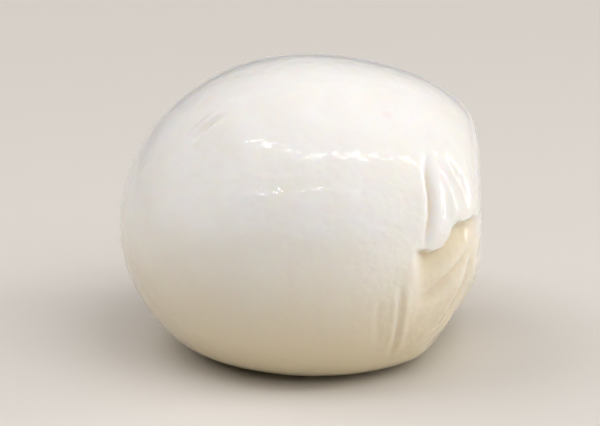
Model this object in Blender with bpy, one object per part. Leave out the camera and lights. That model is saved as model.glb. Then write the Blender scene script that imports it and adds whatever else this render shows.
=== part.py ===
"""Fior di latte mozzarella: one hand-shaped ball of fresh cheese, settled on its own flattened base.

Metres, +Z up, origin at the middle of the base. The viewer stands at -Y with +X to the right. The ball was
torn from the stretched curd at its front right: that end is flat, with a folded flap, a slit beside it and
a hollow with bowed folds below.
"""

import math

import bmesh
import bpy
import numpy as np

MM = 0.001
TINY = 1e-9

# Reach of the ball from its middle, before anything presses on it
LEFT = 31.9 * MM
RIGHT = 36.2 * MM
FRONT = 30.9 * MM
BACK = 30.9 * MM
TOP = 29.2 * MM
BOTTOM = 28.4 * MM
ROUNDNESS = 1.95  # exponent of the superellipsoid: 2 is an ellipsoid, more is boxier

# From the middle that the reaches are measured from to the middle of the finished ball's width and depth
SHIFT_X = 0.5 * MM
SHIFT_Y = 0.2 * MM

# The base, where the ball's own weight has flattened it
BASE_DROP = 26.4 * MM  # from the middle down to the surface it stands on
BASE_EASE = 8.5 * MM  # how far up the skin starts to turn out of the flat

# Soft flats pressed into the ball: azimuth from the viewer towards +X and elevation, in degrees,
# how far from the middle the flat starts, and how much of the cap beyond it is left
END_FLAT = {"azimuth": 74.0, "elevation": -28.0, "start": 28.4 * MM, "left": 2.6 * MM}
SIDE_FLAT = {"azimuth": 92.0, "elevation": 4.0, "start": 27.4 * MM, "left": 3.4 * MM}
CHEEK_FLAT = {"azimuth": -48.0, "elevation": 33.0, "start": 27.6 * MM, "left": 3.5 * MM}
BACK_FLAT = {"azimuth": 205.0, "elevation": 12.0, "start": 28.0 * MM, "left": 3.0 * MM}

# Broad lumps of a hand-shaped ball: azimuth, elevation, spread in degrees and height
LUMPS = (
    (30.0, 52.0, 34.0, 1.4 * MM),
    (-25.0, 70.0, 30.0, 0.35 * MM),
    (-80.0, -6.0, 30.0, 0.1 * MM),
    (128.0, 34.0, 30.0, 0.45 * MM),
    (-135.0, 28.0, 32.0, 0.55 * MM),
    (170.0, -20.0, 34.0, -0.5 * MM),
    (28.0, -40.0, 28.0, 0.9 * MM),
    (92.0, 38.0, 26.0, 1.6 * MM),
)

# The torn end: its middle, and the sphere on which its folds are laid out
KNOT_AZIMUTH = 50.0
KNOT_ELEVATION = 0.0
KNOT_RADIUS = 30.0 * MM
KNOT_EXTENT = 30.0 * MM  # how far its folds reach over the skin
KNOT_FADE = 12.0 * MM

# Slit down the left of the flap: its two ends on the torn end, right and up of its middle
SLIT_TOP = (0.5 * MM, 18.4 * MM)
SLIT_FOOT = (-5.3 * MM, 4.6 * MM)
SLIT_DEPTH = 0.8 * MM
SLIT_WIDTH = 1.1 * MM
SLIT_SWAY = 0.25 * MM  # how far it wanders from its straight line
SLIT_OPENS = 0.45  # share of its length over which it opens from the top
SLIT_CLOSES = (0.95, 1.15)  # and the stretch over which it closes round the foot
LEFT_LIP = 0.2 * MM  # height of the rounded lips on its left and right
RIGHT_LIP = 0.45 * MM
LIP_DISTANCE = 1.9 * MM
LIP_WIDTH = 1.15 * MM

# Free edge of the flap: height of its left and right parts, and the stretch over which it climbs
EDGE_LOW = 3.2 * MM
EDGE_HIGH = 6.6 * MM
EDGE_CLIMB = (-3.4 * MM, 2.2 * MM)
EDGE_DROOP = 22.0  # per metre: how fast it falls again round the far side, beyond the climb
EDGE_WAVE = 0.15 * MM  # scallops of the torn edge
EDGE_WAVE_LENGTH = 4.6 * MM
EDGE_STEP = 1.6 * MM  # distance over which the flap drops into the hollow

# The flap itself: how far it stands up along its edge, and where that dies away
FLAP_SWELL = 0.45 * MM
FLAP_CORNER = 1.6 * MM  # radius of its lower left corner
FLAP_REACH = 4.5 * MM  # inwards from its edge
FLAP_BREADTH = 7.0 * MM  # to either side of the middle
FLAP_TALL = 6.0 * MM  # up from its free edge, and the fade above that
FLAP_FADE = 7.0 * MM

# Hollow under the flap
HOLLOW_DEPTH = 1.6 * MM
HOLLOW_REACH = 9.0 * MM  # how far down it runs from the edge
HOLLOW_LEFT = -6.3 * MM
HOLLOW_RIGHT = 6.5 * MM
LEFT_BANK = 3.4 * MM  # widths of its banks
RIGHT_BANK = 8.0 * MM

# Folds of the torn end, each a bow through three places right and up of its middle, with its height over
# the skin (a groove's is below nothing) and its half width, all in mm
FOLDS = (
    ((0.2, 17.4), (1.6, 11.0), (0.4, 5.6), 0.3, 1.2),
    ((2.9, 16.6), (4.4, 11.0), (4.2, 6.6), -0.3, 1.3),
    ((5.6, 4.4), (0.9, 0.2), (-5.9, -3.2), 0.42, 1.4),
    ((4.4, 1.6), (-0.9, -2.9), (-6.9, -6.4), -0.36, 1.2),
    ((3.8, 0.6), (1.8, -5.0), (-1.6, -12.5), 0.38, 1.3),
    ((5.8, 1.0), (4.0, -5.5), (1.0, -12.5), -0.36, 1.2),
    ((7.8, 0.6), (6.4, -8.0), (3.0, -17.0), 0.38, 1.5),
    ((9.8, 1.0), (9.6, -8.0), (7.6, -16.5), -0.34, 1.3),
    ((12.0, 1.5), (12.8, -8.0), (11.8, -16.0), 0.34, 1.5),
    ((15.0, 3.0), (17.2, -4.0), (17.6, -11.0), -0.3, 1.3),
    ((-10.5, -1.5), (-10.1, -7.5), (-8.4, -15.0), -0.32, 1.2),
)
FOLD_PIECES = 16  # straight pieces that each bow is measured along
FOLD_ENDS = 0.28  # share of a fold's length over which each end fades

# Creases in the skin: azimuth and elevation of both ends, depth and half width
CREASES = (
    (-53.0, 43.0, -47.5, 54.0, 0.4 * MM, 0.9 * MM),
    (40.0, 51.3, 48.5, 49.0, 0.3 * MM, 0.8 * MM),
    (152.0, 30.0, 196.0, 18.0, 0.5 * MM, 1.2 * MM),
    (-120.0, -12.0, -96.0, 10.0, 0.35 * MM, 1.0 * MM),
)
CREASE_ENDS = 0.3  # share of a crease's length over which each end fades
CREASE_BANKS = 0.45  # height of its rounded banks against its depth

# Finish of the skin, as linear colour
CHEESE_WHITE = (0.88, 0.85, 0.76)
CHEESE_ROUGHNESS = 0.3

# Mesh: cells along one edge of the cube that becomes the ball, and how strongly they crowd to the knot
CELLS = 28
CROWDING = 0.62
GRID_TURN = 12.0  # degrees about the knot, so that its lines run near the slit and the pleats


def direction(azimuth, elevation):
    """Unit vector of an azimuth from the viewer towards +X and an elevation, in degrees."""
    a, e = math.radians(azimuth), math.radians(elevation)
    return np.array([math.sin(a) * math.cos(e), -math.cos(a) * math.cos(e), math.sin(e)])


def eased(t):
    """0 below 0, 1 above 1, and a smooth step between."""
    t = np.clip(t, 0.0, 1.0)
    return t * t * (3.0 - 2.0 * t)


def bell(distance, width):
    """1 at no distance, falling to nothing over about twice the width."""
    return np.exp(-((distance / width) ** 2))


def knot_frame():
    """Rows: across the knot to the right, up it, and straight out of it."""
    a, e = math.radians(KNOT_AZIMUTH), math.radians(KNOT_ELEVATION)
    across = np.array([math.cos(a), math.sin(a), 0.0])
    up = np.array([-math.sin(a) * math.sin(e), math.cos(a) * math.sin(e), math.cos(e)])
    return np.array([across, up, direction(KNOT_AZIMUTH, KNOT_ELEVATION)])


def settled(points):
    """The underside flattened on the surface it stands on, with a soft turn out of the flat."""
    height = points[:, 2] + BASE_DROP
    turning = np.clip(height, 0.0, BASE_EASE) ** 2 / (2.0 * BASE_EASE)
    rising = np.maximum(height - BASE_EASE, 0.0)
    made = points.copy()
    made[:, 2] = turning + rising
    return made


def pressed(points, azimuth, elevation, start, left):
    """The cap beyond `start` along a direction, squeezed into a thickness that tends to `left`."""
    normal = direction(azimuth, elevation)
    beyond = np.maximum(points @ normal - start, 0.0)
    squeezed = left * (1.0 - np.exp(-beyond / left))
    return points + np.outer(squeezed - beyond, normal)


def body(directions):
    """The plain ball, about its middle: an uneven superellipsoid with its flats and lumps."""
    x, y, z = directions.T
    a = np.where(x < 0.0, LEFT, RIGHT)
    b = np.where(y < 0.0, FRONT, BACK)
    c = np.where(z < 0.0, BOTTOM, TOP)
    total = np.abs(x / a) ** ROUNDNESS + np.abs(y / b) ** ROUNDNESS + np.abs(z / c) ** ROUNDNESS
    points = directions * (total ** (-1.0 / ROUNDNESS))[:, None]
    for flat in (END_FLAT, SIDE_FLAT, CHEEK_FLAT, BACK_FLAT):
        points = pressed(points, **flat)
    for azimuth, elevation, spread, height in LUMPS:
        angle = np.arccos(np.clip(directions @ direction(azimuth, elevation), -1.0, 1.0))
        swell = height * bell(angle, math.radians(spread))
        points = points + directions * swell[:, None]
    return points


def knot_plane(directions):
    """Where each direction falls on the torn end: right, up and away from its middle, along the skin."""
    local = directions @ knot_frame().T
    side = np.hypot(local[:, 0], local[:, 1])
    away = KNOT_RADIUS * np.arctan2(side, local[:, 2])
    reach = away / np.where(side < TINY, 1.0, side)
    return local[:, 0] * reach, local[:, 1] * reach, away


def slit_place(u, v):
    """Distance to the right of the slit's line, and how far down the slit each point is, 0 to 1."""
    along = np.array(SLIT_FOOT) - np.array(SLIT_TOP)
    length = np.hypot(*along)
    down = along / length
    du, dv = u - SLIT_TOP[0], v - SLIT_TOP[1]
    progress = (du * down[0] + dv * down[1]) / length
    sway = SLIT_SWAY * np.sin(2.0 * math.pi * np.clip(progress, 0.0, 1.0))
    return dv * down[0] - du * down[1] + sway, progress


def edge_height(u):
    """Height of the flap's free edge at a distance right of the middle."""
    start, end = EDGE_CLIMB
    climb = EDGE_LOW + (EDGE_HIGH - EDGE_LOW) * eased((u - start) / (end - start))
    droop = EDGE_DROOP * np.maximum(u - end, 0.0) ** 2
    return climb - droop + EDGE_WAVE * np.sin(2.0 * math.pi * u / EDGE_WAVE_LENGTH)


def slit_relief(right, down):
    """The slit and its two rounded lips."""
    start, end = SLIT_CLOSES
    held = eased(down / SLIT_OPENS) * (1.0 - eased((down - start) / (end - start)))
    lip = np.where(right < 0.0, LEFT_LIP, RIGHT_LIP) * bell(np.abs(right) - LIP_DISTANCE, LIP_WIDTH)
    return held * (lip - SLIT_DEPTH * bell(right, SLIT_WIDTH))


def flap_relief(u, above, right):
    """The flap, highest just inside the slit and its free edge, with its corner rounded."""
    share = np.clip(0.5 + (above - right) / (2.0 * FLAP_CORNER), 0.0, 1.0)
    inside = above * (1.0 - share) + right * share - FLAP_CORNER * share * (1.0 - share)
    swell = eased(inside / EDGE_STEP) * np.exp(-np.maximum(inside, 0.0) / FLAP_REACH)
    near = bell(u, FLAP_BREADTH) * bell(np.maximum(above - FLAP_TALL, 0.0), FLAP_FADE)
    return FLAP_SWELL * swell * near


def hollow_relief(u, above):
    """The hollow below the free edge, between its banks."""
    left = eased((u - HOLLOW_LEFT) / LEFT_BANK + 0.5)
    right = eased((u - HOLLOW_RIGHT) / RIGHT_BANK + 0.5)
    depth = eased(-above / EDGE_STEP) * bell(np.maximum(-above, 0.0), HOLLOW_REACH)
    return -HOLLOW_DEPTH * depth * left * (1.0 - right)


def fold_relief(u, v):
    """The rounded folds and grooves of the torn end."""
    height = np.zeros(len(u))
    steps = np.linspace(0.0, 1.0, FOLD_PIECES + 1)
    for first, middle, last, tall, width in FOLDS:
        first, middle, last = (np.array(place) * MM for place in (first, middle, last))
        pull = 2.0 * middle - (first + last) / 2.0
        bow = [first * (1.0 - t) ** 2 + pull * 2.0 * t * (1.0 - t) + last * t * t for t in steps]
        nearest = np.full(len(u), np.inf)
        along = np.zeros(len(u))
        for index, (start, end) in enumerate(zip(bow, bow[1:])):
            way = end - start
            share = np.clip(((u - start[0]) * way[0] + (v - start[1]) * way[1]) / (way @ way), 0.0, 1.0)
            distance = np.hypot(u - start[0] - share * way[0], v - start[1] - share * way[1])
            closer = distance < nearest
            nearest = np.where(closer, distance, nearest)
            along = np.where(closer, (index + share) / FOLD_PIECES, along)
        held = eased(along / FOLD_ENDS) * eased((1.0 - along) / FOLD_ENDS)
        height = height + tall * MM * held * bell(nearest, width * MM)
    return height


def knot_relief(directions):
    """Height of the torn end's folds over the plain ball."""
    u, v, away = knot_plane(directions)
    right, down = slit_place(u, v)
    above = v - edge_height(u)
    height = slit_relief(right, down) + flap_relief(u, above, right)
    height = height + hollow_relief(u, above) + fold_relief(u, v)
    return height * (1.0 - eased((away - KNOT_EXTENT) / KNOT_FADE))


def crease_relief(directions):
    """Depth of the creases in the skin, each along the shortest way between its two ends."""
    height = np.zeros(len(directions))
    for azimuth_a, elevation_a, azimuth_b, elevation_b, depth, width in CREASES:
        a, b = direction(azimuth_a, elevation_a), direction(azimuth_b, elevation_b)
        normal = np.cross(a, b)
        span = math.asin(np.linalg.norm(normal))
        normal /= np.linalg.norm(normal)
        across = KNOT_RADIUS * np.arcsin(np.clip(directions @ normal, -1.0, 1.0))
        along = np.arctan2(directions @ np.cross(normal, a), directions @ a) / span
        held = eased(along / CREASE_ENDS) * eased((1.0 - along) / CREASE_ENDS)
        banks = CREASE_BANKS * bell(np.abs(across) - 2.0 * width, width)
        height = height + depth * held * (banks - bell(across, width))
    return height


def shaped(directions):
    """The finished skin for each direction from the middle of the ball."""
    points = body(directions)
    height = knot_relief(directions) + crease_relief(directions)
    return settled(points + directions * height[:, None]) + np.array([SHIFT_X, SHIFT_Y, 0.0])


def gridded_directions(cells):
    """A bmesh cube, gridded and blown up to a sphere whose cells crowd round the knot. +Z is the knot."""
    mesh = bmesh.new()
    bmesh.ops.create_cube(mesh, size=2.0)
    bmesh.ops.subdivide_edges(mesh, edges=mesh.edges[:], cuts=cells - 1, use_grid_fill=True)
    flat = np.array([v.co for v in mesh.verts])
    even = np.tan(flat * math.pi / 4.0)
    even /= np.linalg.norm(even, axis=1)[:, None]
    angle = np.arccos(np.clip(even[:, 2], -1.0, 1.0))
    drawn = angle - CROWDING * np.sin(angle) * (1.0 + np.cos(angle)) / 2.0
    bearing = np.arctan2(even[:, 1], even[:, 0]) - math.radians(GRID_TURN)
    out = np.sin(drawn)
    local = np.column_stack([out * np.cos(bearing), out * np.sin(bearing), np.cos(drawn)])
    return mesh, local @ knot_frame()


def fresh_cheese():
    """Fresh stretched-curd cheese: warm milk white, moist, without rind."""
    made = bpy.data.materials.new("fresh_cheese")
    made.use_nodes = True
    shader = made.node_tree.nodes["Principled BSDF"]
    shader.inputs["Base Color"].default_value = (*CHEESE_WHITE, 1.0)
    shader.inputs["Roughness"].default_value = CHEESE_ROUGHNESS
    shader.inputs["Metallic"].default_value = 0.0
    return made


def build_ball():
    """The ball's mesh, its grid moved out to the skin."""
    grid, directions = gridded_directions(CELLS)
    for vert, point in zip(grid.verts, shaped(directions)):
        vert.co = point
    made = bpy.data.meshes.new("mozzarella_ball")
    grid.to_mesh(made)
    grid.free()
    made.shade_smooth()
    made.materials.append(fresh_cheese())
    return made


def main():
    for old in list(bpy.data.objects):
        bpy.data.objects.remove(old, do_unlink=True)
    parts = bpy.data.collections.new("fior_di_latte_mozzarella")
    bpy.context.scene.collection.children.link(parts)
    ball = bpy.data.objects.new("mozzarella_ball", build_ball())
    parts.objects.link(ball)


if __name__ == "__main__":
    main()
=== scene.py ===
"""Fior di latte mozzarella: the looks of one hand-shaped ball of fresh cheese.

Metres, +Z up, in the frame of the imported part: the ball stands on z = 0 with the middle of its width and
depth at the origin, the viewer is at -Y, and the torn end points to the front right. The skin repeats the
ball's form at a finer grid and adds what a wet, hand-torn skin has: the slit and flap with thin lips, close
pleats, ripples, drawn threads and the film of whey over it all.
"""

import math

import bmesh
import bpy
import numpy as np
from bpy.props import FloatProperty, FloatVectorProperty, IntProperty, PointerProperty
from mathutils import Matrix, Vector


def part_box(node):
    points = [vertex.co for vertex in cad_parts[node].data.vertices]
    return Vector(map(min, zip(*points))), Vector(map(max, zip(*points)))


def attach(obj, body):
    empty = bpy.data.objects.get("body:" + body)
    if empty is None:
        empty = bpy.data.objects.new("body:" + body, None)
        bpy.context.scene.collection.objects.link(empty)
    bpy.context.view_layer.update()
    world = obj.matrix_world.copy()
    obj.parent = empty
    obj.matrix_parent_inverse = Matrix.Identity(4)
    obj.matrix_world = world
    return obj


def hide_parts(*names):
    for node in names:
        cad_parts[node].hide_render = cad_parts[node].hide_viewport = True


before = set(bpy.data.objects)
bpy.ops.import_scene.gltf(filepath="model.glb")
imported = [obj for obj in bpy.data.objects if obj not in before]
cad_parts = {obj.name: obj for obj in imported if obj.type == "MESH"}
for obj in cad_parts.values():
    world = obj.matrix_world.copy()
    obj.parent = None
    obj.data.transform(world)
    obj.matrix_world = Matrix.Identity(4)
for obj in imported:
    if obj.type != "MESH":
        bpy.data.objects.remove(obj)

bl_info = {
    "name": "Fior di Latte Mozzarella",
    "version": (1, 0, 0),
    "blender": (4, 5, 0),
    "location": "3D View > Sidebar > Mozzarella",
    "description": "Builds the wet skin of a hand-torn ball of fresh cheese and the stage it stands on",
    "category": "Object",
}

MM = 0.001
TINY = 1e-9
BALL = "mozzarella_ball"
SENSOR = 36.0  # mm, the camera's sensor width
LIGHTS_AIM = 25.0 * MM  # height on the ball that the lights face

# Reach of the ball from its middle, before anything presses on it
LEFT = 31.9 * MM
RIGHT = 36.2 * MM
FRONT = 30.9 * MM
BACK = 30.9 * MM
TOP = 29.2 * MM
BOTTOM = 28.4 * MM
ROUNDNESS = 1.95  # exponent of the superellipsoid: 2 is an ellipsoid, more is boxier

# From the middle that the reaches are measured from to the middle of the finished ball's width and depth
SHIFT_X = 0.5 * MM
SHIFT_Y = 0.2 * MM

# The base, where the ball's own weight has flattened it
BASE_DROP = 26.4 * MM  # from the middle down to the surface it stands on
BASE_EASE = 8.5 * MM  # how far up the skin starts to turn out of the flat

# Soft flats pressed into the ball: azimuth from the viewer towards +X and elevation, in degrees,
# how far from the middle the flat starts, and how much of the cap beyond it is left
END_FLAT = {"azimuth": 74.0, "elevation": -28.0, "start": 28.4 * MM, "left": 2.6 * MM}
SIDE_FLAT = {"azimuth": 92.0, "elevation": 4.0, "start": 27.4 * MM, "left": 3.4 * MM}
CHEEK_FLAT = {"azimuth": -48.0, "elevation": 33.0, "start": 27.6 * MM, "left": 3.5 * MM}
BACK_FLAT = {"azimuth": 205.0, "elevation": 12.0, "start": 28.0 * MM, "left": 3.0 * MM}

# Broad lumps of a hand-shaped ball: azimuth, elevation, spread in degrees and height
LUMPS = (
    (30.0, 52.0, 34.0, 1.4 * MM),
    (-25.0, 70.0, 30.0, 0.35 * MM),
    (-80.0, -6.0, 30.0, 0.1 * MM),
    (128.0, 34.0, 30.0, 0.45 * MM),
    (-135.0, 28.0, 32.0, 0.55 * MM),
    (170.0, -20.0, 34.0, -0.5 * MM),
    (28.0, -40.0, 28.0, 0.9 * MM),
    (92.0, 38.0, 26.0, 1.6 * MM),
)

# The torn end: its middle, and the sphere on which its folds are laid out
KNOT_AZIMUTH = 50.0
KNOT_ELEVATION = 0.0
KNOT_RADIUS = 30.0 * MM
KNOT_EXTENT = 30.0 * MM  # how far its folds reach over the skin
KNOT_FADE = 12.0 * MM

# Slit down the left of the flap: its two ends on the torn end, right and up of its middle
SLIT_TOP = (0.5 * MM, 18.4 * MM)
SLIT_FOOT = (-5.3 * MM, 4.6 * MM)
SLIT_DEPTH = 0.75 * MM
SLIT_WIDTH = 0.45 * MM
SLIT_SWAY = 0.35 * MM  # how far it wanders from its straight line
SLIT_OPENS = 0.4  # share of its length over which it opens from the top
SLIT_CLOSES = (0.78, 1.08)  # and the stretch over which it closes round the foot
LEFT_LIP = 0.2 * MM  # height of the rounded lips on its left and right
RIGHT_LIP = 0.2 * MM
LIP_DISTANCE = 1.5 * MM
LIP_WIDTH = 0.95 * MM

# Free edge of the flap: height of its left and right parts, and the stretch over which it climbs
EDGE_LOW = 3.2 * MM
EDGE_HIGH = 6.6 * MM
EDGE_CLIMB = (-3.4 * MM, 2.2 * MM)
EDGE_TIP = (-5.9 * MM, -3.4 * MM)  # the stretch over which it comes down from the slit to its lowest
EDGE_TIP_RISE = 1.0 * MM
EDGE_DROOP = 22.0  # per metre: how fast it falls again round the far side, beyond the climb
EDGE_WAVE = 0.15 * MM  # scallops of the torn edge
EDGE_WAVE_LENGTH = 4.6 * MM
EDGE_NICKS = 0.06 * MM  # and the small nicks along them
EDGE_NICK_LENGTH = 1.7 * MM
EDGE_STEP = 1.3 * MM  # distance over which the flap drops into the hollow
EDGE_HANG = 0.5 * MM  # how far the flap's edge hangs out over the hollow
EDGE_HANG_PLACE = 0.45 * MM
EDGE_HANG_WIDTH = 0.55 * MM

# The flap itself: how far it stands up along its edge, and where that dies away
FLAP_SWELL = 0.45 * MM
FLAP_CORNER = 1.6 * MM  # radius of its lower left corner
FLAP_REACH = 4.5 * MM  # inwards from its edge
FLAP_BREADTH = 7.0 * MM  # to either side of the middle
FLAP_TALL = 6.0 * MM  # up from its free edge, and the fade above that
FLAP_FADE = 7.0 * MM

# Hollow under the flap
HOLLOW_DEPTH = 1.6 * MM
HOLLOW_REACH = 9.0 * MM  # how far down it runs from the edge
HOLLOW_LEFT = -6.3 * MM
HOLLOW_RIGHT = 6.5 * MM
LEFT_BANK = 3.4 * MM  # widths of its banks
RIGHT_BANK = 8.0 * MM

# Folds of the torn end, each a bow through three places right and up of its middle, with its height over
# the skin (negative for a groove) and its half width, all in mm
FOLDS = (
    ((0.2, 17.4), (1.6, 11.0), (0.4, 5.6), 0.3, 1.1),
    ((2.9, 16.6), (4.4, 11.0), (4.2, 6.6), -0.3, 1.2),
    ((5.6, 4.4), (0.9, 0.2), (-5.9, -3.2), 0.42, 1.25),
    ((4.4, 1.6), (-0.9, -2.9), (-6.9, -6.4), -0.4, 0.8),
    ((3.4, -1.0), (-1.4, -5.2), (-5.8, -9.2), 0.3, 1.2),
    ((3.8, 0.6), (1.8, -5.0), (-1.6, -12.5), 0.4, 1.1),
    ((5.8, 1.0), (4.0, -5.5), (1.0, -12.5), -0.42, 0.75),
    ((7.8, 0.6), (6.4, -8.0), (3.0, -17.0), 0.4, 1.4),
    ((9.8, 1.0), (9.6, -8.0), (7.6, -16.5), -0.36, 0.9),
    ((12.0, 1.5), (12.8, -8.0), (11.8, -16.0), 0.36, 1.4),
    ((15.0, 3.0), (17.2, -4.0), (17.6, -11.0), -0.3, 1.1),
    ((-9.7, 0.0), (-9.1, -8.5), (-7.2, -19.0), -0.24, 0.55),
    ((-8.5, -1.5), (-7.9, -8.5), (-6.0, -19.0), 0.2, 0.6),
    ((-10.8, -1.0), (-10.2, -8.5), (-8.4, -18.5), 0.17, 0.6),
    ((-13.4, -3.0), (-12.8, -8.5), (-11.0, -15.0), -0.12, 0.7),
)
FOLD_PIECES = 16  # straight pieces that each bow is measured along
FOLD_ENDS = 0.28  # share of a fold's length over which each end fades

# Creases in the skin: azimuth and elevation of both ends, depth and half width
CREASES = (
    (-57.0, 38.5, -47.0, 54.0, 0.75 * MM, 0.65 * MM),
    (40.0, 51.3, 48.5, 49.0, 0.28 * MM, 0.5 * MM),
    (152.0, 30.0, 196.0, 18.0, 0.26 * MM, 1.7 * MM),
    (-120.0, -12.0, -96.0, 10.0, 0.26 * MM, 1.3 * MM),
)
CREASE_ENDS = 0.45  # share of a crease's length over which each end fades
CREASE_BANKS = 0.45  # height of its rounded banks against its depth

THREAD_STRETCH = 0.12  # noise along the threads against noise across them
TORN_SKIN = (13.0 * MM, 21.0 * MM)  # the stretch over which the torn end's rougher skin becomes smooth

# Mesh: how strongly the cells of the grid crowd to the torn end, and their turn about it
CROWDING = 0.62
GRID_TURN = 12.0

SKIN_PROUD = 0.5 * MM  # how far the skin's relief may stand out of the plain solid's box

# How far below the plain skin a fold has to lie to be fully in the painted shade of the folds
DEEP_FOLD = 1.6 * MM

# Noises of the skin's relief: a seed of its own, how finely each breaks up and how much it swirls
RIPPLE_NOISE = {"W": 3.7, "Detail": 1.0, "Distortion": 0.6}
DIMPLE_NOISE = {"W": 8.2, "Detail": 2.0, "Distortion": 0.4}
THREAD_NOISE = {"W": 1.3, "Detail": 2.0}

# The cheese's finish: sizes of its patterns, and the values that are the same all over it
CLOUD_SIZE = 8.0 * MM
CLOUD_RANGE = (0.3, 0.7)  # the stretch of the clouds' noise over which white curd turns to milk
GRAIN_SIZE = 2.4 * MM
FILM_SIZE = 2.0 * MM
CHEESE = {
    "Roughness": 0.42,
    "IOR": 1.4,
    "Subsurface Weight": 0.65,
    "Subsurface Radius": (1.0, 0.72, 0.42),  # red light goes furthest into the curd
    "Coat Weight": 1.0,
    "Coat IOR": 1.34,  # whey is nearly water
    "Coat Roughness": 0.04,
}

# The floor's paper
FIBRE_SIZE = 1.2 * MM  # real fibres are far finer; this is as coarse as it needs to be to show
FIBRE_HEIGHT = 0.02 * MM
FIBRE_STRENGTH = 0.2
PAPER = {"Roughness": 0.9, "Specular IOR Level": 0.15}
FLOOR_SIDES = 96  # of the round sheet

# Bright lines that the wet skin mirrors: azimuth and elevation of both ends in degrees, width in metres
# and brightness, all at one distance in metres
LINE_DISTANCE = 0.9
BRIGHT_LINES = {
    "window_left": ((-82.0, 55.0), (-8.0, 62.0), 0.012, 20.0),
    "window_middle": ((-8.0, 62.0), (53.0, 53.5), 0.012, 20.0),
    "window_right": ((53.0, 53.5), (86.0, 33.0), 0.012, 20.0),
    "low_window": ((-42.0, 35.0), (40.0, 30.5), 0.007, 20.0),
    "side_window": ((95.0, 1.0), (95.0, 32.0), 0.15, 6.5),
}

# Soft panels: azimuth and elevation in degrees, distance and side in metres, power in watts and colour
SOFT_PANELS = {
    "top_sky": (100.0, 80.0, 1.1, 1.0, 2.1, "#FFFAF9"),
    "left_sky": (-100.0, 50.0, 1.1, 1.0, 6.4, "#FFFAF9"),
    "right_sky": (60.0, 56.0, 1.1, 1.0, 5.45, "#FFFAF9"),
    "right_fill": (78.0, 3.0, 1.0, 0.6, 1.95, "#FFF6EA"),
}

# The faint light of the room from all round, and the nearest and farthest that the camera sees
ROOM_COLOUR = "#F7F3F0"
ROOM_STRENGTH = 0.1
NEAR_CLIP = 0.05
FAR_CLIP = 50.0


def linear(colour):
    """An sRGB hex colour as linear RGB."""
    parts = [int(colour[i : i + 2], 16) / 255.0 for i in (1, 3, 5)]
    return tuple(c / 12.92 if c <= 0.04045 else ((c + 0.055) / 1.055) ** 2.4 for c in parts)


def direction(azimuth, elevation):
    """Unit vector of an azimuth from the viewer towards +X and an elevation, in degrees."""
    a, e = math.radians(azimuth), math.radians(elevation)
    return np.array([math.sin(a) * math.cos(e), -math.cos(a) * math.cos(e), math.sin(e)])


def eased(t):
    """0 below 0, 1 above 1, and a smooth step between."""
    t = np.clip(t, 0.0, 1.0)
    return t * t * (3.0 - 2.0 * t)


def bell(distance, width):
    """1 at no distance, falling to nothing over about twice the width."""
    return np.exp(-((distance / width) ** 2))


def knot_frame():
    """Rows: across the knot to the right, up it, and straight out of it."""
    a, e = math.radians(KNOT_AZIMUTH), math.radians(KNOT_ELEVATION)
    across = np.array([math.cos(a), math.sin(a), 0.0])
    up = np.array([-math.sin(a) * math.sin(e), math.cos(a) * math.sin(e), math.cos(e)])
    return np.array([across, up, direction(KNOT_AZIMUTH, KNOT_ELEVATION)])


def settled(points):
    """The underside flattened on the surface it stands on, with a soft turn out of the flat."""
    height = points[:, 2] + BASE_DROP
    turning = np.clip(height, 0.0, BASE_EASE) ** 2 / (2.0 * BASE_EASE)
    rising = np.maximum(height - BASE_EASE, 0.0)
    made = points.copy()
    made[:, 2] = turning + rising
    return made


def pressed(points, azimuth, elevation, start, left):
    """The cap beyond `start` along a direction, squeezed into a thickness that tends to `left`."""
    normal = direction(azimuth, elevation)
    beyond = np.maximum(points @ normal - start, 0.0)
    squeezed = left * (1.0 - np.exp(-beyond / left))
    return points + np.outer(squeezed - beyond, normal)


def body(directions):
    """The plain ball, about its middle: an uneven superellipsoid with its flats and lumps."""
    x, y, z = directions.T
    a = np.where(x < 0.0, LEFT, RIGHT)
    b = np.where(y < 0.0, FRONT, BACK)
    c = np.where(z < 0.0, BOTTOM, TOP)
    total = np.abs(x / a) ** ROUNDNESS + np.abs(y / b) ** ROUNDNESS + np.abs(z / c) ** ROUNDNESS
    points = directions * (total ** (-1.0 / ROUNDNESS))[:, None]
    for flat in (END_FLAT, SIDE_FLAT, CHEEK_FLAT, BACK_FLAT):
        points = pressed(points, **flat)
    for azimuth, elevation, spread, height in LUMPS:
        angle = np.arccos(np.clip(directions @ direction(azimuth, elevation), -1.0, 1.0))
        swell = height * bell(angle, math.radians(spread))
        points = points + directions * swell[:, None]
    return points


def knot_plane(directions):
    """Where each direction falls on the torn end: right, up and away from its middle, along the skin."""
    local = directions @ knot_frame().T
    side = np.hypot(local[:, 0], local[:, 1])
    away = KNOT_RADIUS * np.arctan2(side, local[:, 2])
    reach = away / np.where(side < TINY, 1.0, side)
    return local[:, 0] * reach, local[:, 1] * reach, away


def slit_place(u, v):
    """Distance to the right of the slit's line, and how far down the slit each point is, 0 to 1."""
    along = np.array(SLIT_FOOT) - np.array(SLIT_TOP)
    length = np.hypot(*along)
    down = along / length
    du, dv = u - SLIT_TOP[0], v - SLIT_TOP[1]
    progress = (du * down[0] + dv * down[1]) / length
    sway = SLIT_SWAY * np.sin(2.0 * math.pi * np.clip(progress, 0.0, 1.0))
    return dv * down[0] - du * down[1] + sway, progress


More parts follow.
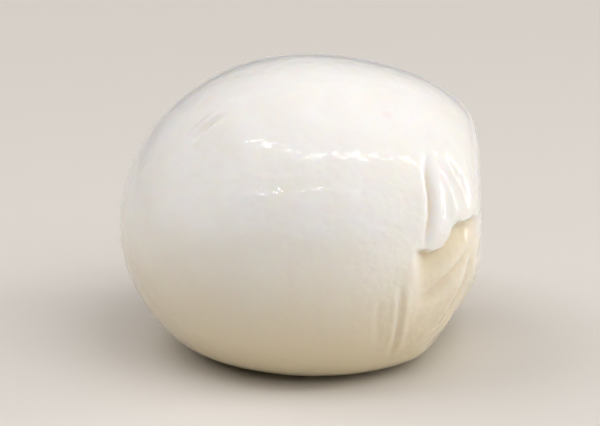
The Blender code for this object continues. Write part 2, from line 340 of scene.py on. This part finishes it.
def edge_height(u):
    """Height of the flap's free edge at a distance right of the middle."""
    start, end = EDGE_CLIMB
    climb = EDGE_LOW + (EDGE_HIGH - EDGE_LOW) * eased((u - start) / (end - start))
    droop = EDGE_DROOP * np.maximum(u - end, 0.0) ** 2
    start, end = EDGE_TIP
    tip = EDGE_TIP_RISE * (1.0 - eased((u - start) / (end - start)))
    scallops = EDGE_WAVE * np.sin(2.0 * math.pi * u / EDGE_WAVE_LENGTH)
    nicks = EDGE_NICKS * np.sin(2.0 * math.pi * u / EDGE_NICK_LENGTH)
    return climb + tip - droop + scallops + nicks


def slit_relief(right, down):
    """The slit and its two rounded lips."""
    start, end = SLIT_CLOSES
    held = eased(down / SLIT_OPENS) * (1.0 - eased((down - start) / (end - start)))
    lip = np.where(right < 0.0, LEFT_LIP, RIGHT_LIP) * bell(np.abs(right) - LIP_DISTANCE, LIP_WIDTH)
    return held * (lip - SLIT_DEPTH * bell(right, SLIT_WIDTH))


def flap_relief(u, above, right):
    """The flap, highest just inside the slit and its free edge, with its corner rounded."""
    share = np.clip(0.5 + (above - right) / (2.0 * FLAP_CORNER), 0.0, 1.0)
    inside = above * (1.0 - share) + right * share - FLAP_CORNER * share * (1.0 - share)
    swell = eased(inside / EDGE_STEP) * np.exp(-np.maximum(inside, 0.0) / FLAP_REACH)
    near = bell(u, FLAP_BREADTH) * bell(np.maximum(above - FLAP_TALL, 0.0), FLAP_FADE)
    return FLAP_SWELL * swell * near


def hollow_banks(u):
    """1 between the hollow's two banks, 0 beyond them."""
    left = eased((u - HOLLOW_LEFT) / LEFT_BANK + 0.5)
    right = eased((u - HOLLOW_RIGHT) / RIGHT_BANK + 0.5)
    return left * (1.0 - right)


def hollow_relief(u, above):
    """The hollow below the free edge, between its banks."""
    depth = eased(-above / EDGE_STEP) * bell(np.maximum(-above, 0.0), HOLLOW_REACH)
    return -HOLLOW_DEPTH * depth * hollow_banks(u)


def fold_relief(u, v):
    """The rounded folds and grooves of the torn end."""
    height = np.zeros(len(u))
    steps = np.linspace(0.0, 1.0, FOLD_PIECES + 1)
    for first, middle, last, tall, width in FOLDS:
        first, middle, last = (np.array(place) * MM for place in (first, middle, last))
        pull = 2.0 * middle - (first + last) / 2.0
        bow = [first * (1.0 - t) ** 2 + pull * 2.0 * t * (1.0 - t) + last * t * t for t in steps]
        nearest = np.full(len(u), np.inf)
        along = np.zeros(len(u))
        for index, (start, end) in enumerate(zip(bow, bow[1:])):
            way = end - start
            share = np.clip(((u - start[0]) * way[0] + (v - start[1]) * way[1]) / (way @ way), 0.0, 1.0)
            distance = np.hypot(u - start[0] - share * way[0], v - start[1] - share * way[1])
            closer = distance < nearest
            nearest = np.where(closer, distance, nearest)
            along = np.where(closer, (index + share) / FOLD_PIECES, along)
        held = eased(along / FOLD_ENDS) * eased((1.0 - along) / FOLD_ENDS)
        height = height + tall * MM * held * bell(nearest, width * MM)
    return height


def knot_relief(directions):
    """Height of the torn end's folds over the plain ball, and how far its edge hangs down over the hollow."""
    u, v, away = knot_plane(directions)
    right, down = slit_place(u, v)
    above = v - edge_height(u)
    height = slit_relief(right, down) + flap_relief(u, above, right)
    height = height + hollow_relief(u, above) + fold_relief(u, v)
    near = 1.0 - eased((away - KNOT_EXTENT) / KNOT_FADE)
    hang = EDGE_HANG * bell(above - EDGE_HANG_PLACE, EDGE_HANG_WIDTH) * hollow_banks(u)
    return height * near, hang * near


def crease_relief(directions):
    """Depth of the creases in the skin, each along the shortest way between its two ends."""
    height = np.zeros(len(directions))
    for azimuth_a, elevation_a, azimuth_b, elevation_b, depth, width in CREASES:
        a, b = direction(azimuth_a, elevation_a), direction(azimuth_b, elevation_b)
        normal = np.cross(a, b)
        span = math.asin(np.linalg.norm(normal))
        normal /= np.linalg.norm(normal)
        across = KNOT_RADIUS * np.arcsin(np.clip(directions @ normal, -1.0, 1.0))
        along = np.arctan2(directions @ np.cross(normal, a), directions @ a) / span
        held = eased(along / CREASE_ENDS) * eased((1.0 - along) / CREASE_ENDS)
        banks = CREASE_BANKS * bell(np.abs(across) - 2.0 * width, width)
        height = height + depth * held * (banks - bell(across, width))
    return height


def shaped(directions):
    """The finished skin for each direction from the middle of the ball, and the height of its folds."""
    points = body(directions)
    folds, hang = knot_relief(directions)
    height = folds + crease_relief(directions)
    points = points + directions * height[:, None] - np.outer(hang, knot_frame()[1])
    return settled(points) + np.array([SHIFT_X, SHIFT_Y, 0.0]), folds


def gridded_directions(cells):
    """A bmesh cube, gridded and blown up to a sphere whose cells crowd round the knot. +Z is the knot."""
    mesh = bmesh.new()
    bmesh.ops.create_cube(mesh, size=2.0)
    bmesh.ops.subdivide_edges(mesh, edges=mesh.edges[:], cuts=cells - 1, use_grid_fill=True)
    flat = np.array([v.co for v in mesh.verts])
    even = np.tan(flat * math.pi / 4.0)
    even /= np.linalg.norm(even, axis=1)[:, None]
    angle = np.arccos(np.clip(even[:, 2], -1.0, 1.0))
    drawn = angle - CROWDING * np.sin(angle) * (1.0 + np.cos(angle)) / 2.0
    bearing = np.arctan2(even[:, 1], even[:, 0]) - math.radians(GRID_TURN)
    out = np.sin(drawn)
    local = np.column_stack([out * np.cos(bearing), out * np.sin(bearing), np.cos(drawn)])
    return mesh, local @ knot_frame()


def skin_mesh(cells):
    """The ball's skin as a mesh, with each point's place on the torn end and its depth in the folds."""
    grid, directions = gridded_directions(cells)
    points, folds = shaped(directions)
    for vert, point in zip(grid.verts, points):
        vert.co = point
    made = bpy.data.meshes.new("cheese_skin")
    grid.to_mesh(made)
    grid.free()
    u, v, away = knot_plane(directions)
    bearing = np.arctan2(v, u)
    threads = np.column_stack([np.cos(bearing), np.sin(bearing), away / KNOT_RADIUS])
    made.attributes.new("thread_place", "FLOAT_VECTOR", "POINT").data.foreach_set("vector", threads.ravel())
    deep = np.clip(-folds / DEEP_FOLD, 0.0, 1.0)
    made.attributes.new("fold_depth", "FLOAT", "POINT").data.foreach_set("value", deep)
    return made


def add_node(tree, kind, settings=None, links=None):
    """A node of a tree, with its properties and socket values set and its inputs linked."""
    node = tree.nodes.new(kind)
    for name, value in (settings or {}).items():
        if isinstance(name, int) or name in node.inputs:
            node.inputs[name].default_value = value
        else:
            setattr(node, name, value)
    for name, source in (links or {}).items():
        tree.links.new(source, node.inputs[name])
    return node


def skin_relief_tree(material):
    """Geometry nodes that raise the wet skin's ripples, dimples and threads, and leave the base flat."""
    tree = bpy.data.node_groups.new("skin relief", "GeometryNodeTree")
    tree.interface.new_socket("Geometry", in_out="INPUT", socket_type="NodeSocketGeometry")
    for name in (
        "Ripple Height",
        "Ripple Length",
        "Dimple Height",
        "Dimple Length",
        "Thread Height",
        "Thread Count",
        "Torn Roughness",
        "Base Clearance",
    ):
        tree.interface.new_socket(name, in_out="INPUT", socket_type="NodeSocketFloat")
    tree.interface.new_socket("Geometry", in_out="OUTPUT", socket_type="NodeSocketGeometry")
    given = add_node(tree, "NodeGroupInput").outputs
    place = add_node(tree, "GeometryNodeInputPosition").outputs[0]

    # Ripples and dimples are noise of a real wavelength, as a height about zero
    layers = {}
    for layer, noise in (("Ripple", RIPPLE_NOISE), ("Dimple", DIMPLE_NOISE)):
        scale = add_node(
            tree, "ShaderNodeMath", {"operation": "DIVIDE", 0: 1.0}, {1: given[f"{layer} Length"]}
        ).outputs[0]
        pattern = add_node(
            tree, "ShaderNodeTexNoise", {"noise_dimensions": "4D", **noise}, {"Vector": place, "Scale": scale}
        ).outputs[0]
        about_zero = add_node(
            tree, "ShaderNodeMath", {"operation": "MULTIPLY_ADD", 1: 2.0, 2: -1.0}, {0: pattern}
        ).outputs[0]
        layers[layer] = add_node(
            tree, "ShaderNodeMath", {"operation": "MULTIPLY"}, {0: about_zero, 1: given[f"{layer} Height"]}
        ).outputs[0]

    # Threads run outwards from the torn end, so their noise is stretched that way
    thread_place = add_node(
        tree, "GeometryNodeInputNamedAttribute", {"data_type": "FLOAT_VECTOR", "Name": "thread_place"}
    ).outputs[0]
    stretched = add_node(
        tree,
        "ShaderNodeVectorMath",
        {"operation": "MULTIPLY", 1: (1.0, 1.0, THREAD_STRETCH)},
        {0: thread_place},
    ).outputs[0]
    pattern = add_node(
        tree,
        "ShaderNodeTexNoise",
        {"noise_dimensions": "4D", **THREAD_NOISE},
        {"Vector": stretched, "Scale": given["Thread Count"]},
    ).outputs[0]
    about_zero = add_node(
        tree, "ShaderNodeMath", {"operation": "SUBTRACT", 1: 0.5}, {0: pattern}
    ).outputs[0]
    threads = add_node(
        tree,
        "ShaderNodeMath",
        {"operation": "MULTIPLY_ADD"},
        {0: about_zero, 1: given["Thread Height"], 2: layers["Ripple"]},
    ).outputs[0]

    # The torn end has a rougher skin, except in its hollow
    rough_until, smooth_from = TORN_SKIN
    away = add_node(tree, "ShaderNodeSeparateXYZ", links={0: thread_place}).outputs[2]
    torn = add_node(
        tree,
        "ShaderNodeMapRange",
        {
            "interpolation_type": "SMOOTHSTEP",
            "From Min": smooth_from / KNOT_RADIUS,
            "From Max": rough_until / KNOT_RADIUS,
        },
        {"Value": away},
    ).outputs[0]
    deep = add_node(
        tree, "GeometryNodeInputNamedAttribute", {"data_type": "FLOAT", "Name": "fold_depth"}
    ).outputs[0]
    outside = add_node(tree, "ShaderNodeMath", {"operation": "SUBTRACT", 0: 1.0}, {1: deep}).outputs[0]
    bare = add_node(tree, "ShaderNodeMath", {"operation": "MULTIPLY"}, {0: torn, 1: outside}).outputs[0]
    roughened = add_node(
        tree, "ShaderNodeMath", {"operation": "MULTIPLY_ADD", 2: 1.0}, {0: bare, 1: given["Torn Roughness"]}
    ).outputs[0]
    total = add_node(
        tree, "ShaderNodeMath", {"operation": "MULTIPLY_ADD"}, {0: layers["Dimple"], 1: roughened, 2: threads}
    ).outputs[0]

    # The relief grows from nothing at the flat base
    level = add_node(tree, "ShaderNodeSeparateXYZ", links={0: place}).outputs[2]
    free = add_node(
        tree,
        "ShaderNodeMapRange",
        {"interpolation_type": "SMOOTHSTEP", "From Min": 0.0},
        {"Value": level, "From Max": given["Base Clearance"]},
    ).outputs[0]
    height = add_node(tree, "ShaderNodeMath", {"operation": "MULTIPLY"}, {0: total, 1: free}).outputs[0]
    normal = add_node(tree, "GeometryNodeInputNormal").outputs[0]
    offset = add_node(
        tree, "ShaderNodeVectorMath", {"operation": "SCALE"}, {0: normal, "Scale": height}
    ).outputs[0]
    moved = add_node(tree, "GeometryNodeSetPosition", links={"Geometry": given["Geometry"], "Offset": offset})
    real = add_node(tree, "GeometryNodeRealizeInstances", links={0: moved.outputs[0]})
    finished = add_node(tree, "GeometryNodeSetMaterial", {"Material": material}, {0: real.outputs[0]})
    add_node(tree, "NodeGroupOutput", links={0: finished.outputs[0]})
    return tree


def through_tree(mesh, tree, values):
    """The plain mesh that a geometry node tree makes of a mesh."""
    carrier = bpy.data.objects.new("carrier", mesh)
    bpy.context.scene.collection.objects.link(carrier)
    modifier = carrier.modifiers.new("tree", "NODES")
    modifier.node_group = tree
    for item in tree.interface.items_tree:
        if item.in_out == "INPUT" and item.name in values:
            modifier[item.identifier] = values[item.name]
    bpy.context.view_layer.update()
    evaluated = carrier.evaluated_get(bpy.context.evaluated_depsgraph_get())
    made = bpy.data.meshes.new_from_object(evaluated)
    carrier.modifiers.remove(modifier)
    bpy.data.objects.remove(carrier, do_unlink=True)
    return made


def stretched_curd_skin(settings):
    """Fresh stretched-curd cheese: a milk-white, rindless skin, slightly see-through, wet with whey.

    Light goes a few millimetres into the curd and comes back warm, so shadows are soft and cream. More warm
    shade is painted into its colour: a darker cream at the foot and in the folds. The film of whey on top
    gives small sharp highlights that break up on the ripples of the skin.
    """
    made = bpy.data.materials.new("stretched_curd_wet_with_whey")
    made.use_nodes = True
    tree = made.node_tree
    shader = tree.nodes["Principled BSDF"]
    place = add_node(tree, "ShaderNodeTexCoord").outputs["Object"]
    height = add_node(tree, "ShaderNodeSeparateXYZ", links={0: place}).outputs[2]

    # Clouds of slightly whiter and slightly creamier curd
    clouds = add_node(
        tree, "ShaderNodeTexNoise", {"Scale": 1.0 / CLOUD_SIZE, "Detail": 3.0}, {"Vector": place}
    ).outputs[0]
    low, high = CLOUD_RANGE
    cloud_mix = add_node(
        tree, "ShaderNodeMapRange", {"From Min": low, "From Max": high}, {"Value": clouds}
    ).outputs[0]
    curd = add_node(
        tree,
        "ShaderNodeMix",
        {"data_type": "RGBA", 6: (*settings.white, 1.0), 7: (*settings.milk, 1.0)},
        {"Factor": cloud_mix},
    ).outputs[2]

    # Painted shade: the skin is painted darker and creamier towards the foot, in place of the warm shade and
    # bounced light there
    painted_foot_shade = add_node(
        tree,
        "ShaderNodeMapRange",
        {"interpolation_type": "SMOOTHSTEP", "From Min": settings.foot_shade_from, "From Max": 0.0},
        {"Value": height},
    ).outputs[0]
    with_foot_shade = add_node(
        tree,
        "ShaderNodeMix",
        {"data_type": "RGBA", 7: (*settings.cream, 1.0)},
        {"Factor": painted_foot_shade, 6: curd},
    ).outputs[2]

    # Painted shade: the folds, slit and hollow are painted a darker cream, more so the deeper they lie
    deep = add_node(tree, "ShaderNodeAttribute", {"attribute_name": "fold_depth"}).outputs["Fac"]
    colour = add_node(
        tree,
        "ShaderNodeMix",
        {"data_type": "RGBA", 7: (*settings.fold, 1.0)},
        {"Factor": deep, 6: with_foot_shade},
    ).outputs[2]
    tree.links.new(colour, shader.inputs["Base Color"])

    # The grain of the curd under the skin
    grain = add_node(
        tree, "ShaderNodeTexNoise", {"Scale": 1.0 / GRAIN_SIZE, "Detail": 1.5}, {"Vector": place}
    ).outputs[0]
    grain_bump = add_node(
        tree, "ShaderNodeBump", {"Strength": 1.0, "Distance": settings.grain_height}, {"Height": grain}
    ).outputs[0]
    tree.links.new(grain_bump, shader.inputs["Normal"])

    # The film of whey, uneven where it gathers and thins
    film = add_node(
        tree, "ShaderNodeTexNoise", {"Scale": 1.0 / FILM_SIZE, "Detail": 2.5}, {"Vector": place}
    ).outputs[0]
    film_bump = add_node(
        tree, "ShaderNodeBump", {"Strength": 1.0, "Distance": settings.film_height}, {"Height": film}
    ).outputs[0]
    tree.links.new(film_bump, shader.inputs["Coat Normal"])

    for name, value in CHEESE.items():
        shader.inputs[name].default_value = value
    shader.inputs["Subsurface Scale"].default_value = settings.glow_depth
    return made


def matt_paper(colour):
    """Matt photographic paper: an even pale sheet without gloss, for the floor."""
    made = bpy.data.materials.new("matt_background_paper")
    made.use_nodes = True
    tree = made.node_tree
    shader = tree.nodes["Principled BSDF"]
    place = add_node(tree, "ShaderNodeTexCoord").outputs["Object"]
    fibres = add_node(
        tree, "ShaderNodeTexNoise", {"Scale": 1.0 / FIBRE_SIZE, "Detail": 2.0}, {"Vector": place}
    ).outputs[0]
    bump = add_node(
        tree, "ShaderNodeBump", {"Strength": FIBRE_STRENGTH, "Distance": FIBRE_HEIGHT}, {"Height": fibres}
    ).outputs[0]
    tree.links.new(bump, shader.inputs["Normal"])
    shader.inputs["Base Color"].default_value = (*colour, 1.0)
    for name, value in PAPER.items():
        shader.inputs[name].default_value = value
    return made


class SkinSettings(bpy.types.PropertyGroup):
    """Sizes and colours of the wet skin"""

    cells: IntProperty(
        name="Grid cells",
        description="Cells along one edge of the cube that becomes the ball",
        default=128,
        min=8,
    )
    ripple_height: FloatProperty(
        name="Ripple height",
        description="Height of the slow ripples",
        default=0.09 * MM,
        unit="LENGTH",
        precision=6,
    )
    ripple_length: FloatProperty(
        name="Ripple length",
        description="Distance between ripples",
        default=4.8 * MM,
        unit="LENGTH",
        precision=5,
    )
    dimple_height: FloatProperty(
        name="Dimple height",
        description="Height of the small dimples",
        default=0.05 * MM,
        unit="LENGTH",
        precision=6,
    )
    dimple_length: FloatProperty(
        name="Dimple length",
        description="Distance between dimples",
        default=1.5 * MM,
        unit="LENGTH",
        precision=5,
    )
    thread_height: FloatProperty(
        name="Thread height",
        description="Height of the drawn threads",
        default=0.04 * MM,
        unit="LENGTH",
        precision=6,
    )
    thread_count: FloatProperty(
        name="Thread count",
        description="How fine the threads are round the torn end",
        default=11.0,
    )
    torn_roughness: FloatProperty(
        name="Torn roughness",
        description="How much higher the torn end's dimples are, as a share",
        default=1.6,
        min=0.0,
    )
    base_clearance: FloatProperty(
        name="Base clearance",
        description="Height at which the relief is full",
        default=1.5 * MM,
        unit="LENGTH",
    )
    grain_height: FloatProperty(
        name="Grain height",
        description="Height of the curd's grain",
        default=0.11 * MM,
        unit="LENGTH",
        precision=6,
    )
    film_height: FloatProperty(
        name="Film height",
        description="Unevenness of the film of whey",
        default=0.04 * MM,
        unit="LENGTH",
        precision=6,
    )
    glow_depth: FloatProperty(
        name="Glow depth",
        description="How far light spreads in the curd",
        default=2.6 * MM,
        unit="LENGTH",
    )
    # Painted shade: height below which the foot's darker cream is painted in
    foot_shade_from: FloatProperty(
        name="Cream from",
        description="Height below which the skin turns creamier",
        default=34.0 * MM,
        unit="LENGTH",
    )
    white: FloatVectorProperty(
        name="White",
        description="Whitest curd",
        default=linear("#FBFAF7"),
        subtype="COLOR",
        min=0.0,
        max=1.0,
    )
    milk: FloatVectorProperty(
        name="Milk",
        description="Creamiest clouds of the curd",
        default=linear("#F7F4EE"),
        subtype="COLOR",
        min=0.0,
        max=1.0,
    )
    # Painted shade: the darker cream painted at the foot in place of its shade and bounced light
    cream: FloatVectorProperty(
        name="Cream",
        description="Skin at the foot",
        default=linear("#E8DAB8"),
        subtype="COLOR",
        min=0.0,
        max=1.0,
    )
    # Painted shade: the darker cream painted into the folds, slit and hollow
    fold: FloatVectorProperty(
        name="Fold",
        description="Curd bared in the folds",
        default=linear("#EBDFC2"),
        subtype="COLOR",
        min=0.0,
        max=1.0,
    )


class StageSettings(bpy.types.PropertyGroup):
    """Camera, lights and floor"""

    elevation: FloatProperty(
        name="Camera elevation",
        description="Angle of view above the floor",
        default=math.radians(19.0),
        subtype="ANGLE",
    )
    distance: FloatProperty(
        name="Camera distance",
        description="From the camera to the ball",
        default=0.95,
        unit="LENGTH",
    )
    picture_width: FloatProperty(
        name="Picture width",
        description="Width of the view at the ball",
        default=104.5 * MM,
        unit="LENGTH",
    )
    aim_height: FloatProperty(
        name="Aim height",
        description="Height that the camera looks at",
        default=24.0 * MM,
        unit="LENGTH",
    )
    floor_radius: FloatProperty(
        name="Floor radius",
        description="Radius of the floor",
        default=14.0,
        unit="LENGTH",
    )
    floor_colour: FloatVectorProperty(
        name="Floor",
        description="Pale floor",
        default=linear("#D9D6D0"),
        subtype="COLOR",
        min=0.0,
        max=1.0,
    )


class MOZZARELLA_OT_skin(bpy.types.Operator):
    """Build the ball's wet skin in place of its plain solid"""

    bl_idname = "mozzarella.skin"
    bl_label = "Cheese skin"

    def execute(self, context):
        settings = context.scene.mozzarella_skin
        material = stretched_curd_skin(settings)
        plain = skin_mesh(settings.cells)
        tree = skin_relief_tree(material)
        made = through_tree(
            plain,
            tree,
            {
                "Ripple Height": settings.ripple_height,
                "Ripple Length": settings.ripple_length,
                "Dimple Height": settings.dimple_height,
                "Dimple Length": settings.dimple_length,
                "Thread Height": settings.thread_height,
                "Thread Count": settings.thread_count,
                "Torn Roughness": settings.torn_roughness,
                "Base Clearance": settings.base_clearance,
            },
        )
        low, high = (np.array(corner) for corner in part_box(BALL))
        points = np.empty(len(made.vertices) * 3)
        made.vertices.foreach_get("co", points)
        points = points.reshape(-1, 3)
        if (points < low - SKIN_PROUD).any() or (points > high + SKIN_PROUD).any():
            raise RuntimeError("the skin stands out of the ball's box")
        made.name = "cheese_skin"
        made.shade_smooth()
        skin = bpy.data.objects.new("cheese_skin", made)
        context.scene.collection.objects.link(skin)
        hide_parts(BALL)
        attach(skin, "root")
        return {"FINISHED"}


def add_light(name, place, across, size, power, colour, mirrored):
    """A rectangular light that faces the ball, its long side along `across`; the camera never sees it."""
    lamp = bpy.data.lights.new(name, "AREA")
    lamp.shape = "RECTANGLE"
    lamp.size, lamp.size_y = size
    lamp.energy = power
    lamp.color = colour
    made = bpy.data.objects.new(name, lamp)
    back = place.normalized()
    side = (across - back * across.dot(back)).normalized()
    turned = Matrix((side, back.cross(side), back)).transposed()
    made.matrix_world = Matrix.Translation(place + Vector((0.0, 0.0, LIGHTS_AIM))) @ turned.to_4x4()
    made.visible_camera = False
    made.visible_glossy = mirrored
    bpy.context.scene.collection.objects.link(made)


def add_soft_panel(name, azimuth, elevation, distance, side, power, colour):
    """A large soft panel that lights the ball without showing in its wet skin."""
    place = Vector(direction(azimuth, elevation)) * distance
    add_light(name, place, Vector((1.0, 0.0, 0.0)), (side, side), power, linear(colour), mirrored=False)


def add_bright_line(name, start, end, width, brightness):
    """A narrow lit gap, as between curtains, from one direction to another: the wet skin mirrors it."""
    first = Vector(direction(*start)) * LINE_DISTANCE
    last = Vector(direction(*end)) * LINE_DISTANCE
    across = last - first
    power = brightness * math.pi * across.length * width
    white = (1.0, 1.0, 1.0)
    add_light(name, (first + last) / 2.0, across, (across.length, width), power, white, mirrored=True)


class MOZZARELLA_OT_stage(bpy.types.Operator):
    """Lay the floor, set the lights and place the camera"""

    bl_idname = "mozzarella.stage"
    bl_label = "Stage"

    def execute(self, context):
        settings = context.scene.mozzarella_stage
        bpy.ops.mesh.primitive_circle_add(
            vertices=FLOOR_SIDES, radius=settings.floor_radius, fill_type="NGON"
        )
        floor = context.object
        floor.name = "floor"
        floor.data.materials.append(matt_paper(settings.floor_colour))

        for name, line in BRIGHT_LINES.items():
            add_bright_line(name, *line)
        for name, panel in SOFT_PANELS.items():
            add_soft_panel(name, *panel)

        world = bpy.data.worlds.new("pale_room")
        world.use_nodes = True
        background = world.node_tree.nodes["Background"]
        background.inputs["Color"].default_value = (*linear(ROOM_COLOUR), 1.0)
        background.inputs["Strength"].default_value = ROOM_STRENGTH
        context.scene.world = world
        context.scene.view_settings.view_transform = "Standard"

        camera = bpy.data.cameras.new("camera")
        camera.sensor_width = SENSOR
        camera.lens = SENSOR * settings.distance / settings.picture_width
        camera.clip_start = NEAR_CLIP
        camera.clip_end = FAR_CLIP
        eye = bpy.data.objects.new("camera", camera)
        out = Vector(direction(0.0, math.degrees(settings.elevation)))
        eye.location = Vector((0.0, 0.0, settings.aim_height)) + out * settings.distance
        eye.rotation_euler = out.to_track_quat("Z", "Y").to_euler()
        context.scene.collection.objects.link(eye)
        context.scene.camera = eye
        return {"FINISHED"}


class MOZZARELLA_PT_parts(bpy.types.Panel):
    """The pieces of the ball and its stage"""

    bl_label = "Fior di latte mozzarella"
    bl_space_type = "VIEW_3D"
    bl_region_type = "UI"
    bl_category = "Mozzarella"

    def draw(self, context):
        for group, operator in (
            (context.scene.mozzarella_skin, MOZZARELLA_OT_skin),
            (context.scene.mozzarella_stage, MOZZARELLA_OT_stage),
        ):
            column = self.layout.column(align=True)
            for name in group.bl_rna.properties.keys():
                if name not in ("rna_type", "name"):
                    column.prop(group, name)
            column.operator(operator.bl_idname)


CLASSES = (SkinSettings, StageSettings, MOZZARELLA_OT_skin, MOZZARELLA_OT_stage, MOZZARELLA_PT_parts)


def register():
    for cls in CLASSES:
        bpy.utils.register_class(cls)
    bpy.types.Scene.mozzarella_skin = PointerProperty(type=SkinSettings)
    bpy.types.Scene.mozzarella_stage = PointerProperty(type=StageSettings)


def unregister():
    del bpy.types.Scene.mozzarella_stage
    del bpy.types.Scene.mozzarella_skin
    for cls in reversed(CLASSES):
        bpy.utils.unregister_class(cls)


def main():
    register()
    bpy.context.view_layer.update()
    bpy.ops.mozzarella.skin()
    bpy.ops.mozzarella.stage()


if __name__ == "__main__":
    main()
